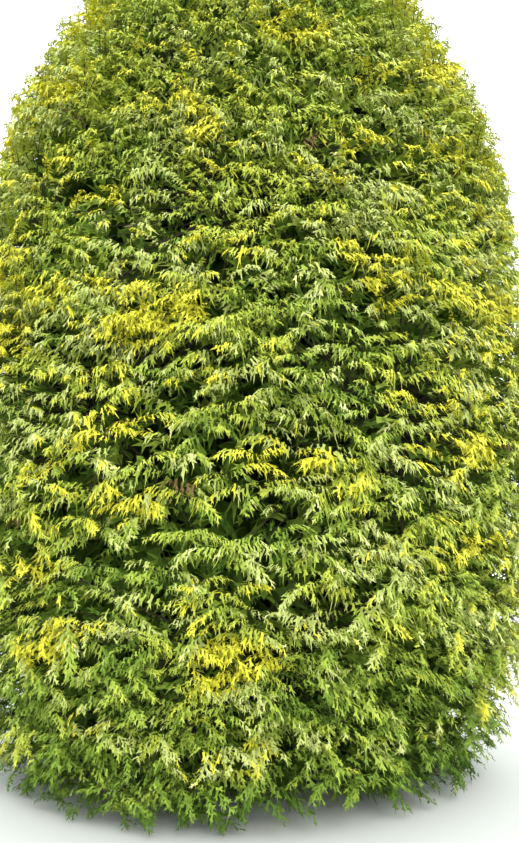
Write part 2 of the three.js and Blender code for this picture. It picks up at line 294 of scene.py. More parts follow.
@dataclass(frozen=True)
class Habit:
    """The whole tree's way of growing: its crown round its trunk, in tiers of masses."""

    crown: CrownForm = CrownForm()
    trunk: TrunkForm = TrunkForm()

    def masses(self, level: int) -> list[Mass]:
        """The masses of one tier, each as high as the foot of the next tier or the crown's top.

        Args:
            level: the tier's place in the list of tiers.

        Returns:
            The masses, round the trunk from the front.
        """
        tier = TIERS[level]
        high = TIERS[level + 1].base if level + 1 < len(TIERS) else self.crown.height
        return [Mass(tier, level, number, tier.base, high) for number in range(tier.masses)]

    def at(self, height: Array, azimuth: Array, depth: Amount) -> Array:
        """Points at a depth under the outline, on the layers that meet it at their heights."""
        return self.inside(height, azimuth, self.crown.inwards(height, azimuth, depth))

    def inside(self, height: Array, azimuth: Array, inwards: Array) -> Array:
        """Points a plain horizontal distance inside the outline, on their sloping layers.

        Args:
            height: where each point's layer meets the outline.
            azimuth: the direction of each point.
            inwards: the distance from the outline.

        Returns:
            The points.
        """
        out = self.crown.reach(height, azimuth) - inwards
        z = height + self.crown.layer_slope(height) * inwards
        point = self.trunk.centre(np.minimum(z, self.trunk.top)) + out[..., None] * heading(azimuth)
        point[..., 2] = z
        return point

    def of_mass(self, mass: Mass, across: float, along: float, depth: float) -> Array:
        """A point of a mass's space, across and along it from -1 to 1."""
        height = np.asarray(mix(mass.low, mass.high, (along + 1) / 2))
        return self.at(height, mass.azimuth + across * mass.half_angle, depth)

    def standing_out(self, points: Array) -> Pair:
        """How far points stand out of the crown's outline, and which way is straight out of it there.

        Args:
            points: the points to measure.

        Returns:
            The distances, negative inside, and the outward directions.
        """
        centre = self.trunk.centre(np.clip(points[..., 2], 0, self.trunk.top))
        offset = points[..., :2] - centre[..., :2]
        out = np.linalg.norm(offset, axis=-1)
        azimuth = np.arctan2(offset[..., 1], offset[..., 0])
        beside = out - self.crown.reach(points[..., 2], azimuth)
        above = points[..., 2] - self.crown.top_over(out)
        low = points[..., 2] < self.crown.widest + self.crown.shoulder
        slant = np.maximum(np.hypot(beside, above), TINY)
        distance = np.where(low, beside, np.sign(beside) * np.abs(beside * above) / slant)
        way = np.where(low, 1.0, np.abs(above) / slant)[..., None] * heading(azimuth)
        way[..., 2] = np.where(low, 0.0, np.abs(beside) / slant)
        return distance, way


@dataclass(frozen=True)
class Bezier:
    """A curve through space from a start to an end, drawn towards an elbow."""

    start: Array
    elbow: Array
    end: Array

    def at(self, shares: Array) -> Array:
        """The points at shares of the way along."""
        t = np.asarray(shares, float)[:, None]
        return (1 - t) ** 2 * self.start + 2 * t * (1 - t) * self.elbow + t**2 * self.end

    def tangent(self, shares: Array) -> Array:
        """The directions at shares of the way along."""
        t = np.asarray(shares, float)[:, None]
        return unit((1 - t) * (self.elbow - self.start) + t * (self.end - self.elbow))


@dataclass(frozen=True)
class LimbRule:
    """How boughs and stems run from the trunk to their masses, with the sizes of the part's source."""

    bough_radius: float = 0.046
    thinner_at_top: float = 0.5
    tip_share: float = 0.5
    lowest_bough: float = 0.42
    bough_step: float = 0.04
    elbow_share: float = 0.55
    elbow_rise: float = 0.07
    stem_run: float = 0.26
    stem_rise: float = 0.27
    stem_elbow: float = 0.5
    top_stem_radius: float = 0.017
    top_stem_rise: float = 0.9
    top_stem_along: float = -0.6

    def bough(self, habit: Habit, mass: Mass) -> tuple[Bezier, float, float]:
        """The bough of a mass.

        Args:
            habit: the tree's way of growing.
            mass: the mass that the bough carries.

        Returns:
            Its path, and its radius at the trunk and at the tip.
        """
        back = habit.of_mass(mass, 0, 0, habit.crown.core_back)
        across = (back - habit.trunk.centre(back[2])) * (1, 1, 0)
        run = float(np.linalg.norm(across))
        tip = back - unit(across) * self.stem_run
        tip[2] -= self.stem_run * self.stem_rise
        lowest = self.lowest_bough + self.bough_step * mass.number
        start = habit.trunk.centre(max(tip[2] - mass.tier.bough_rise * run, lowest))
        elbow = mix(start, tip, self.elbow_share)
        elbow[2] += self.elbow_rise * run
        thick = self.bough_radius * (1 - self.thinner_at_top * start[2] / habit.crown.height)
        return Bezier(start, elbow, tip), thick, thick * self.tip_share

    def stem(self, habit: Habit, mass: Mass) -> tuple[Bezier, float]:
        """The stem by which a mass goes on from its bough, or from the trunk.

        Args:
            habit: the tree's way of growing.
            mass: the mass.

        Returns:
            Its path and its radius.
        """
        target = habit.of_mass(mass, 0, 0, habit.crown.core_back - habit.crown.stem_sunk)
        if mass.tier.bough_rise is None:
            core = habit.of_mass(mass, 0, self.top_stem_along, habit.crown.core_back)
            start = habit.trunk.centre(core[2] - self.stem_run)
            way = unit(heading(mass.azimuth) + (0, 0, self.top_stem_rise))
            radius = self.top_stem_radius
        else:
            path, _, radius = self.bough(habit, mass)
            start, way = path.end, path.tangent([1.0])[0]
        elbow = start + way * np.linalg.norm(target - start) * self.stem_elbow
        return Bezier(start, elbow, target), radius


class Tint(Enum):
    """The colours of a golden cypress: from its newest sprays to those deep inside, dead ones and olive. The
    shade and inner tints are darker greens, partly the inner foliage's own colour and partly painted shade.
    """

    CREAM = "cream"
    GOLD = "gold"
    LIME = "lime"
    GREEN = "green"
    # Shade and inner: darker copies of the green, which are painted shade inside the crown
    SHADE = "shade"
    INNER = "inner"
    BRONZE = "bronze"
    OLIVE = "olive"

    @property
    def place(self) -> int:
        """The tint's place in this list."""
        return list(Tint).index(self)


def fill(node: bpy.types.Node, values: dict[str, float | tuple[float, ...]]) -> None:
    """Sets a node's inputs by their names."""
    for name, value in values.items():
        node.inputs[name].default_value = value


def wire(tree: bpy.types.NodeTree, *runs: tuple[bpy.types.Node, str, bpy.types.Node, str]) -> None:
    """Links nodes: each run is a node and its output, then a node and its input."""
    for source, output, target, entry in runs:
        tree.links.new(source.outputs[output], target.inputs[entry])


@dataclass(frozen=True)
class PlainFinish:
    """A plain colour with a slight waxy shine, as scale leaves have."""

    colour: Colour
    roughness: float = 0.62
    specular: float = 0.28

    def material(self, name: str) -> bpy.types.Material:
        """The finish as a material.

        Args:
            name: the material's name.

        Returns:
            The material.
        """
        made = bpy.data.materials.new(name)
        made.use_nodes = True
        made.diffuse_color = (*self.colour, 1)
        shader = made.node_tree.nodes["Principled BSDF"]
        fill(shader, {"Base Color": (*self.colour, 1), "Roughness": self.roughness})
        fill(shader, {"Specular IOR Level": self.specular})
        return made


LEAF_FINISHES = {
    Tint.CREAM: PlainFinish((0.49, 0.52, 0.19)),
    Tint.GOLD: PlainFinish((0.54, 0.52, 0.03)),
    Tint.LIME: PlainFinish((0.385, 0.435, 0.112)),
    Tint.GREEN: PlainFinish((0.27, 0.35, 0.038), 0.65),
    # The shade and inner finishes are the leaves' green darkened: painted shade, the inner one near black so
    # that it reads as the dark gaps between fronds
    Tint.SHADE: PlainFinish((0.155, 0.245, 0.026), 0.7, 0.2),
    Tint.BRONZE: PlainFinish((0.15, 0.10, 0.03), 0.7, 0.25),
    Tint.INNER: PlainFinish((0.07, 0.13, 0.015), 0.85, 0.1),
    Tint.OLIVE: PlainFinish((0.375, 0.43, 0.045)),
}
TWIG_FINISH = PlainFinish((0.03, 0.024, 0.014), 0.9, 0.15)
FLOOR_FINISH = PlainFinish((0.52, 0.53, 0.50), 0.9, 0.2)


@dataclass(frozen=True)
class BarkFinish:
    """Grey-brown bark in long stringy fibres, darker in its furrows and greener in the shade."""

    ridge: Colour = (0.21, 0.15, 0.105)
    furrow: Colour = (0.05, 0.032, 0.022)
    bloom: Colour = (0.16, 0.17, 0.10)
    fibres: float = 42.0
    stretch: float = 0.07
    bump: float = 0.006
    specular: float = 0.5

    def group(self) -> bpy.types.NodeTree:
        """The shared group that draws fibres.

        Returns:
            The group, with the fibres' mask and a slow stain as outputs.
        """
        known = bpy.data.node_groups.get("bark fibres")
        if known:
            return known
        made = bpy.data.node_groups.new("bark fibres", "ShaderNodeTree")
        for name, way, kind in (
            ("Vector", "INPUT", "NodeSocketVector"),
            ("Fineness", "INPUT", "NodeSocketFloat"),
            ("Ridges", "OUTPUT", "NodeSocketFloat"),
            ("Stain", "OUTPUT", "NodeSocketFloat"),
        ):
            made.interface.new_socket(name, in_out=way, socket_type=kind)
        nodes = made.nodes
        start, end = nodes.new("NodeGroupInput"), nodes.new("NodeGroupOutput")
        fine, slow = nodes.new("ShaderNodeTexNoise"), nodes.new("ShaderNodeTexNoise")
        edge, patch = nodes.new("ShaderNodeMapRange"), nodes.new("ShaderNodeMapRange")
        fill(fine, {"Detail": 6, "Roughness": 0.62, "Distortion": 0.3})
        fill(slow, {"Scale": 2.2, "Detail": 3})
        fill(edge, {"From Min": 0.38, "From Max": 0.62})
        fill(patch, {"From Min": 0.45, "From Max": 0.68})
        wire(
            made,
            (start, "Vector", fine, "Vector"),
            (start, "Vector", slow, "Vector"),
            (start, "Fineness", fine, "Scale"),
            (fine, "Fac", edge, "Value"),
            (slow, "Fac", patch, "Value"),
            (edge, "Result", end, "Ridges"),
            (patch, "Result", end, "Stain"),
        )
        return made

    def material(self, name: str, upright: bool) -> bpy.types.Material:
        """The bark's material.

        Args:
            name: the material's name.
            upright: whether the fibres run up the piece, as on the trunk.

        Returns:
            The material.
        """
        made = PlainFinish(self.ridge, specular=self.specular).material(name)
        nodes, shader = made.node_tree.nodes, made.node_tree.nodes["Principled BSDF"]
        place, turn = nodes.new("ShaderNodeTexCoord"), nodes.new("ShaderNodeMapping")
        fibres, bump = nodes.new("ShaderNodeGroup"), nodes.new("ShaderNodeBump")
        tone, stained = nodes.new("ShaderNodeMix"), nodes.new("ShaderNodeMix")
        rough = nodes.new("ShaderNodeMapRange")
        fibres.node_tree = self.group()
        tone.data_type = stained.data_type = "RGBA"
        fill(turn, {"Scale": (1, 1, self.stretch) if upright else (1, 1, 1)})
        fill(fibres, {"Fineness": self.fibres})
        fill(tone, {"A": (*self.furrow, 1), "B": (*self.ridge, 1)})
        fill(stained, {"B": (*self.bloom, 1)})
        fill(bump, {"Distance": self.bump})
        fill(rough, {"To Min": 0.97, "To Max": 0.82})
        wire(
            made.node_tree,
            (place, "Object", turn, "Vector"),
            (turn, "Vector", fibres, "Vector"),
            (fibres, "Ridges", tone, "Factor"),
            (tone, "Result", stained, "A"),
            (fibres, "Stain", stained, "Factor"),
            (stained, "Result", shader, "Base Color"),
            (fibres, "Ridges", rough, "Value"),
            (rough, "Result", shader, "Roughness"),
            (fibres, "Ridges", bump, "Height"),
            (bump, "Normal", shader, "Normal"),
        )
        return made


def place_piece(
    mesh: bpy.types.Mesh, material: bpy.types.Material, nodes: list[str]
) -> bpy.types.Object:
    """Puts a finished mesh in the scene as a piece of the tree.

    Args:
        mesh: the mesh, already in its place.
        material: its material.
        nodes: the CAD nodes that it stands for.

    Returns:
        The new object.
    """
    mesh.materials.append(material)
    piece = bpy.data.objects.new(mesh.name, mesh)
    bpy.context.scene.collection.objects.link(piece)
    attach(piece, "root")
    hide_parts(*nodes)
    log.info("%s: %d faces", piece.name, len(mesh.polygons))
    return piece


def mesh_of(made: bmesh.types.BMesh, name: str) -> bpy.types.Mesh:
    """Turns a bmesh into a mesh with smooth faces.

    Args:
        made: the bmesh, which is freed.
        name: the mesh's name.

    Returns:
        The mesh.
    """
    mesh = bpy.data.meshes.new(name)
    made.to_mesh(mesh)
    made.free()
    mesh.shade_smooth()
    return mesh


def joined_mesh(name: str, points: list[Array], triangles: list[Array]) -> bpy.types.Mesh:
    """One mesh of many small things.

    Args:
        name: the mesh's name.
        points: groups of its vertices.
        triangles: groups of its faces, with three vertex numbers for each.

    Returns:
        The mesh, with flat faces.
    """
    places, corners = np.concatenate(points), np.concatenate(triangles)
    mesh = bpy.data.meshes.new(name)
    mesh.vertices.add(len(places))
    mesh.vertices.foreach_set("co", np.ascontiguousarray(places, np.float32).ravel())
    mesh.loops.add(corners.size)
    mesh.loops.foreach_set("vertex_index", np.ascontiguousarray(corners, np.int32).ravel())
    mesh.polygons.add(len(corners))
    mesh.polygons.foreach_set("loop_start", np.arange(0, corners.size, 3, dtype=np.int32))
    mesh.update(calc_edges=True)
    mesh.shade_flat()
    return mesh


@dataclass(frozen=True)
class BarkRelief:
    """The height of the bark's ridges over a limb's plain surface."""

    depth: float
    ridges: int
    seed: int
    shares: tuple[float, ...] = (1, 0.6, 0.35)
    sway: Span = (0.5, 1.2)
    pace: Span = (1.5, 4)

    def at(self, azimuth: Array, along: Array) -> Array:
        """The relief of twisting strips that fork and close.

        Args:
            azimuth: the direction of each point round the limb.
            along: its distance along the limb.

        Returns:
            The height of the bark at each point.
        """
        chance = np.random.default_rng(self.seed)
        total = np.zeros(np.broadcast(azimuth, along).shape)
        for extra, share in enumerate(self.shares):
            count = self.ridges * (extra + 1) + extra
            phase, sway, pace = (chance.uniform(*span) for span in (ANY_PHASE, self.sway, self.pace))
            total += share * np.cos(count * azimuth + phase + sway * np.sin(pace * along + phase))
        return self.depth * total / sum(self.shares)


@dataclass(frozen=True)
class Limb:
    """A round limb with bark relief, laid along a path by moving a plain cylinder's vertices."""

    sides: int
    rings: int

    def build(self, place: Callable[[Array, Array], Array]) -> bmesh.types.BMesh:
        """The limb's mesh.

        Args:
            place: takes each vertex's azimuth and share of the way, and gives its point.

        Returns:
            A new bmesh with closed ends.
        """
        made = bmesh.new()
        bmesh.ops.create_cone(
            made, cap_ends=True, cap_tris=False, segments=self.sides, radius1=1, radius2=1, depth=1
        )
        upright = [e for e in made.edges if abs(e.verts[0].co.z - e.verts[1].co.z) > 0.5]
        bmesh.ops.subdivide_edges(made, edges=upright, cuts=self.rings - 1, use_grid_fill=True)
        made.verts.ensure_lookup_table()
        points = np.array([v.co for v in made.verts])
        moved = place(np.arctan2(points[:, 1], points[:, 0]), points[:, 2] + 0.5)
        for vertex, point in zip(made.verts, moved):
            vertex.co = point
        bmesh.ops.recalc_face_normals(made, faces=made.faces)
        return made


@dataclass(frozen=True)
class TrunkPiece:
    """The whole trunk, from the flat cut at the ground to its tip in the leader."""

    habit: Habit
    limb: Limb = Limb(36, 110)
    closer_below: float = 1.4
    relief: BarkRelief = BarkRelief(0.009, 9, 31)
    relief_pace: float = 2
    full_relief_radius: float = 0.12

    def build(self) -> bpy.types.Mesh:
        """The trunk's mesh.

        Returns:
            The mesh, in its place.
        """
        form = self.habit.trunk

        def place(azimuth: Array, share: Array) -> Array:
            """Lays the bark, with its rings closer together near the ground.

            Args:
                azimuth: the direction of each vertex from the trunk's middle.
                share: its share of the way up.

            Returns:
                The vertices' points.
            """
            height = form.top * share**self.closer_below
            radius = form.radius_at(height, azimuth)
            relief = self.relief.at(azimuth, height * self.relief_pace)
            radius = radius + relief * np.minimum(radius / self.full_relief_radius, 1)
            return form.centre(height) + radius[:, None] * heading(azimuth)

        return mesh_of(self.limb.build(place), "trunk_bark")

    def dress(self, mesh: bpy.types.Mesh, finish: BarkFinish) -> bpy.types.Object:
        """Puts the trunk in the scene with its bark."""
        return place_piece(mesh, finish.material("trunk bark", True), ["trunk"])


@dataclass(frozen=True)
class BoughPieces:
    """The boughs of one tier, each a tapering limb from the trunk to the foot of its mass's stem."""

    habit: Habit
    rule: LimbRule
    level: int
    limb: Limb = Limb(14, 18)
    relief_share: float = 0.09
    ridges: int = 3
    relief_pace: float = 5
    seed: int = 60
    seed_step: int = 10

    def build(self) -> bpy.types.Mesh:
        """The mesh of the tier's boughs together.

        Returns:
            The mesh, in its place.
        """
        joined = bmesh.new()
        for mass in self.habit.masses(self.level):
            path, thick, thin = self.rule.bough(self.habit, mass)
            seed = self.seed + self.seed_step * self.level + mass.number
            relief = BarkRelief(self.relief_share, self.ridges, seed)

            def place(azimuth: Array, share: Array) -> Array:
                """Lays the bark of one bough.

                Args:
                    azimuth: the direction of each vertex round the bough.
                    share: its share of the way along.

                Returns:
                    The vertices' points.
                """
                forward = path.tangent(share)
                across = unit(left_of(forward))
                up = np.cross(across, forward)
                radius = mix(thick, thin, share) * (1 + relief.at(azimuth, share * self.relief_pace))
                side = across * np.cos(azimuth)[:, None] + up * np.sin(azimuth)[:, None]
                return path.at(share) + side * radius[:, None]

            single = mesh_of(self.limb.build(place), "bough")
            joined.from_mesh(single)
            bpy.data.meshes.remove(single)
        return mesh_of(joined, f"boughs_{TIERS[self.level].name}_bark")

    def dress(self, mesh: bpy.types.Mesh, finish: BarkFinish) -> bpy.types.Object:
        """Puts the tier's boughs in the scene with their bark."""
        nodes = [f"bough_{mass.label}" for mass in self.habit.masses(self.level)]
        return place_piece(mesh, finish.material(f"{mesh.name} finish", False), nodes)


@dataclass(frozen=True)
class SprayForm:
    """One spray, flat before it bends: a slim axis with a pointed strand on both sides.

    Its sizes are shares of the spray's length.
    """

    axis_width: float = 0.23
    axis_back: float = 0.04
    axis_tip: float = 0.94
    first: float = 0.25
    stagger: float = 0.04
    strand_width: float = 0.31
    strand_forward: float = 0.2232
    strand_sideways: float = 0.26784

    def points(self) -> Array:
        """The spray's vertices.

        Returns:
            How far forwards and sideways each lies, for a spray of length one.
        """
        half = self.axis_width / 2
        rows = [(-self.axis_back, half), (-self.axis_back, -half), (self.axis_tip, 0.0)]
        for side in (1, -1):
            foot = self.first + self.stagger * side
            tip = foot + self.strand_width / 2 + self.strand_forward
            rows += [(foot, 0.0), (foot + self.strand_width, 0.0), (tip, side * self.strand_sideways)]
        return np.array(rows)


# The corners of a spray's axis and of its two strands, all turned the same way
SPRAY_FACES = np.array([(0, 1, 2), (3, 4, 5), (8, 7, 6)])


class Shoot(NamedTuple):
    """A side shoot of a frond: where it leaves the spine, its angle and its length."""

    start: float
    angle: float
    length: float


@dataclass(frozen=True)
class FrondForm:
    """One frond of length one, flat before it bends: a spine and the sprays along it and at its tip."""

    pairs: int = 13
    first: float = 0.04
    last: float = 0.92
    widest: float = 0.42
    longest: float = 0.205
    shortest: float = 0.125
    angle_foot: float = 1.3
    angle_tip: float = 0.75
    stagger: float = 0.03
    tip: tuple[Shoot, ...] = (Shoot(0.62, 0.1, 0.2), Shoot(0.82, 0.0, 0.18))

    def shoots(self) -> list[Shoot]:
        """The shoots that carry a spray each.

        Returns:
            Those along the spine's end first, then the pairs from the foot.
        """
        made = list(self.tip)
        for k in range(self.pairs):
            share = k / (self.pairs - 1)
            start = mix(self.first, self.last, share)
            away = (start - self.widest) / (self.last - self.widest)
            length = mix(self.longest, self.shortest, away**2)
            angle = mix(self.angle_foot, self.angle_tip, share)
            made += [Shoot(start, angle, length), Shoot(start + self.stagger, -angle, length)]
        return made


@dataclass
class Fronds:
    """Many fronds at once: the frame, the bend and the tone of each."""

    root: Array
    forward: Array
    side: Array
    up: Array
    length: Array
    droop: Array
    sag: Array
    arch: Array
    tone: Array
    arch_end: float = 1.15

    def fan(self, forwards: Array, sideways: Array, lift: Amount = 0.0) -> Array:
        """Bends points of the flat fronds to where they hang.

        Args:
            forwards: metres along each frond's spine, with the fronds on the first axis.
            sideways: metres across it.
            lift: metres off its face.

        Returns:
            The points.
        """
        extra = (slice(None),) + (None,) * (forwards.ndim - 1)
        length = self.length[extra]
        far = np.hypot(forwards, sideways)
        bulge = self.arch[extra] * far * np.clip(1 - far / (self.arch_end * length), 0, 1)
        lift = lift + bulge - self.sag[extra] * sideways**2 / length
        frame = (self.root, self.forward, self.side, self.up)
        root, forward, side, up = (vectors[(*extra, slice(None))] for vectors in frame)
        point = root + forward * forwards[..., None] + side * sideways[..., None] + up * lift[..., None]
        point[..., 2] -= self.droop[extra] * far**2 / length
        return point


# Points of a frond, along it and across it in shares of its length: one of them stands out furthest
FURTHEST = ((1.02, 0.0), (0.8, 0.15), (0.8, -0.15), (0.97, 0.1), (0.97, -0.1), (0.45, 0.18), (0.45, -0.18))


@dataclass(frozen=True)
class FrondRule:
    """Where fronds grow in a mass's space and which way they hang.

    A pair is a value at the foot of the crown and at its top. A pair with a plural name is the two ends of
    what chance may draw or of what is allowed, and the under fronds' tone is a mean and a spread, whose low
    mean
    darkens them: painted shade under the main fronds.
    """

    habit: Habit
    shelf_pitch: float = 0.113
    samples: int = 200
    spacing: float = 0.3
    closer_at_top: float = 0.14
    stagger: float = 0.25
    along_chance: Span = (0.8, 0.6)
    across_chance: float = 0.4
    wave: float = 0.15
    wave_noise: SlowNoise = SlowNoise(3.4, 21)
    length: float = 0.32
    length_share: Span = (1, 0.85)
    length_chance: float = 0.33
    rise: Span = (0.12, 0.95)
    rise_chance: float = 0.3
    slope: float = 0.52
    droop: Span = (0.22, 0.1)
    droops: Span = (0.75, 1.25)
    sag: float = 3.4
    sags: Span = (0.7, 1.3)
    arch: float = 0.36
    arches: Span = (0.2, 2)
    roll: float = 0.4
    tilt: float = 0.75
    hanging_heights: tuple[float, ...] = (0.3, 1.0, 2.4, 5.0, 8.0)
    hanging_shares: tuple[float, ...] = (0.4, 0.6, 1.0, 1.0, 0.7)
    turn_share: Span = (1, 0.5)
    main_turns: Span = (0.95, 1.6)
    fork_turns: Span = (0.9, 1.6)
    fork_fall: float = 0.22
    fork_falls: Span = (-0.3, 1.7)
    fork_length: float = 0.9
    fork_lengths: Span = (0.8, 1.15)
    fork_tone: float = 0.6
    under_turns: Span = (0.3, 1.4)
    under_fall: float = 0.3
    under_falls: Span = (-0.3, 0.3)
    # The under fronds' low mean tone darkens them: painted shade under the main fronds
    under_shade_tone: Span = (-0.9, 0.8)
    under_low: float = 0.06
    under_lows: Span = (0.5, 1.5)
    under_back: float = 0.05
    root_back: float = 0.6
    root_deepest: float = 0.55
    recess: float = 0.08
    recess_power: float = 1.5
    stand_out: Span = (0.055, 0.02)
    hollow: float = 0.06
    hollow_noise: SlowNoise = SlowNoise(2.6, 5, 2.2)
    hollow_limits: Span = (-0.3, 1)
    ground: float = 0.015
    foot_reach: float = 0.35
    foot_fall: float = 0.19
    foot_dip: float = 0.12
    foot_recess: float = 0.13
    foot_spread: float = 1.5
    settling_rounds: int = 4
    settling_limits: Span = (-0.25, 0.6)

    def hanging(self, height: Array) -> Array:
        """How much the fringes hang at each height: most on the crown's steep middle."""
        return np.interp(height, self.hanging_heights, self.hanging_shares)

    def spots(self, mass: Mass, chance: Chance) -> Pair:
        """Where the fronds of a mass are rooted: staggered rows along its shelves, with a little chance.

        Args:
            mass: the mass.
            chance: the stream of random numbers.

        Returns:
            The heights at which their layers meet the outline, and their azimuths.
        """
        crown = self.habit.crown
        heights = np.linspace(mass.low, mass.high, self.samples)
        steps = np.hypot(np.diff(heights), np.diff(crown.reach(heights, mass.azimuth)))
        way = np.concatenate([[0], np.cumsum(steps)])
        closer = 1 - self.closer_at_top * float(crown.climb(mass.high))
        rows = max(round(way[-1] / (self.shelf_pitch * closer)), 1)
        found = []
        for row in range(rows):
            height = np.interp((row + 0.5) / rows * way[-1], way, heights)
            width = 2 * mass.half_angle * float(crown.reach(height, mass.azimuth))
            columns = max(round(width / (self.spacing * closer)), 1)
            shift = self.stagger * (1 if row % 2 else -1)
            across = (2 * (np.arange(columns) + 0.5 + shift) / columns) - 1
            across += chance.uniform(-1, 1, columns) * self.across_chance * 2 / columns
            along = mix(*self.along_chance, float(crown.climb(height)))
            offset = chance.uniform(-1, 1, columns) * along * way[-1] / rows
            spot = self.habit.at(height, mass.azimuth + across * mass.half_angle, 0.0)
            offset += self.wave * self.wave_noise.at(spot)
            place = (row + 0.5) / rows * way[-1] + offset
            beyond = np.clip(place - way[-1], 0, None) + np.clip(place, None, 0)
            found.append(np.stack([np.interp(place, way, heights) + beyond, across]))
        height, across = np.concatenate(found, axis=1)
        return height, mass.azimuth + across * mass.half_angle

    def grow(self, mass: Mass, chance: Chance) -> list[Fronds]:
        """The fronds of a mass, three from each root, with their furthest tips near the outline.

        Args:
            mass: the mass.
            chance: the stream of random numbers.

        Returns:
            The main fronds, as many that fork off to their other side, and as many that hang under both.
        """
        height, azimuth = self.spots(mass, chance)
        near_ground = np.exp(-height / self.foot_reach)
        height = height - self.foot_fall * near_ground
        count = len(height)
        climbed = self.habit.crown.climb(height)
        length = self.length * mix(*self.length_share, climbed)
        length = length * (1 + chance.uniform(-1, 1, count) * self.length_chance)
        rise = mix(*self.rise, climbed) + chance.uniform(-0.5, 0.5, count) * self.rise_chance
        rise = rise - self.foot_dip * near_ground
        way = either_side(chance, count)
        turn_share = mix(*self.turn_share, climbed)
        turn = way * turn_share * chance.uniform(*self.main_turns, count)
        fork = -way * turn_share * chance.uniform(*self.fork_turns, count)
        deepest = self.habit.crown.reach(height, azimuth) * self.root_deepest
        root = self.habit.inside(height, azimuth, np.minimum(length * self.root_back, deepest))
        recess = self.recess * chance.random(count) ** self.recess_power - mix(*self.stand_out, climbed)
        recess = recess + self.hollow * np.clip(self.hollow_noise.at(root), *self.hollow_limits)
        recess = recess - self.foot_recess * np.clip(self.foot_spread * near_ground, 0, 1)
        tone = chance.normal(0, 1, count)
        slope = self.slope * chance.uniform(-1, 1, count)
        main = self.lay(root, azimuth, turn, rise + slope, length, tone, chance)
        length = length * self.fork_length * chance.uniform(*self.fork_lengths, count)
        fall = self.fork_fall * chance.uniform(*self.fork_falls, count)
        tone = tone + chance.normal(0, self.fork_tone, count)
        forked = self.lay(root, azimuth, fork, rise - slope - fall, length, tone, chance)
        fall = (self.under_fall + chance.uniform(*self.under_falls, count)) * (1 - near_ground)
        # Painted shade: the under fronds are drawn darker on the whole
        tone = chance.normal(*self.under_shade_tone, count)
        below = either_side(chance, count) * chance.uniform(*self.under_turns, count)
        under = self.lay(root, azimuth, below, rise - fall, length, tone, chance)
        low = np.array([0, 0, self.under_low]) * chance.uniform(*self.under_lows, count)[:, None]
        under.root = root - heading(azimuth) * self.under_back - low
        self.settle([main, forked, under], recess)
        return [main, forked, under]

    def lay(
        self, root: Array, azimuth: Array, turn: Array, rise: Array, length: Array, tone: Array,
        chance: Chance,
    ) -> Fronds:
        """Fronds with the bend that fits their heights.

        Args:
            root: where each starts.
            azimuth: the way out of the crown there.
            turn: how far its direction turns from that, seen from above.
            rise: how steeply it rises.
            length: its length.
            tone: how pale it is.
            chance: the stream of random numbers.

        Returns:
            The fronds.
        """
        count = len(length)
        climbed = self.habit.crown.climb(root[:, 2])
        flat = heading(azimuth + turn)
        level = left_of(flat)
        forward = flat * np.cos(rise)[:, None]
        forward[:, 2] = np.sin(rise)
        hung = self.hanging(root[:, 2])
        roll = self.tilt * hung * np.sin(turn)
        roll = (roll + chance.uniform(-0.5, 0.5, count) * self.roll)[:, None]
        side = level * np.cos(roll) + np.cross(forward, level) * np.sin(roll)
        return Fronds(
            root=root.copy(),
            forward=forward,
            side=side,
            up=np.cross(forward, side),
            length=length,
            droop=mix(*self.droop, climbed) * chance.uniform(*self.droops, count),
            sag=self.sag * hung * chance.uniform(*self.sags, count),
            arch=self.arch * chance.uniform(*self.arches, count),
            tone=tone,
        )

    def settle(self, forks: list[Fronds], recess: Array) -> None:
        """Moves fronds that share a root so that their furthest tip lies near the outline, over the ground.

        Args:
            forks: the groups of fronds that share their roots.
            recess: how far inside the outline the furthest tip from each root lies.
        """
        ahead, aside = np.array(FURTHEST).T

        def tips() -> Array:
            """The points of the fronds from each root that may reach furthest."""
            laid = [one.fan(ahead * one.length[:, None], aside * one.length[:, None]) for one in forks]
            return np.concatenate(laid, axis=1)

        for _ in range(self.settling_rounds):
            out, way = self.habit.standing_out(tips())
            furthest = np.argmax(out, axis=1)
            pick = np.arange(len(furthest))
            distance = np.clip(out[pick, furthest] + recess, *self.settling_limits)
            for fronds in forks:
                fronds.root -= way[pick, furthest] * distance[:, None]
        low = tips()[..., 2].min(axis=1)
        for fronds in forks:
            fronds.root[:, 2] += np.clip(self.ground - low, 0, None)


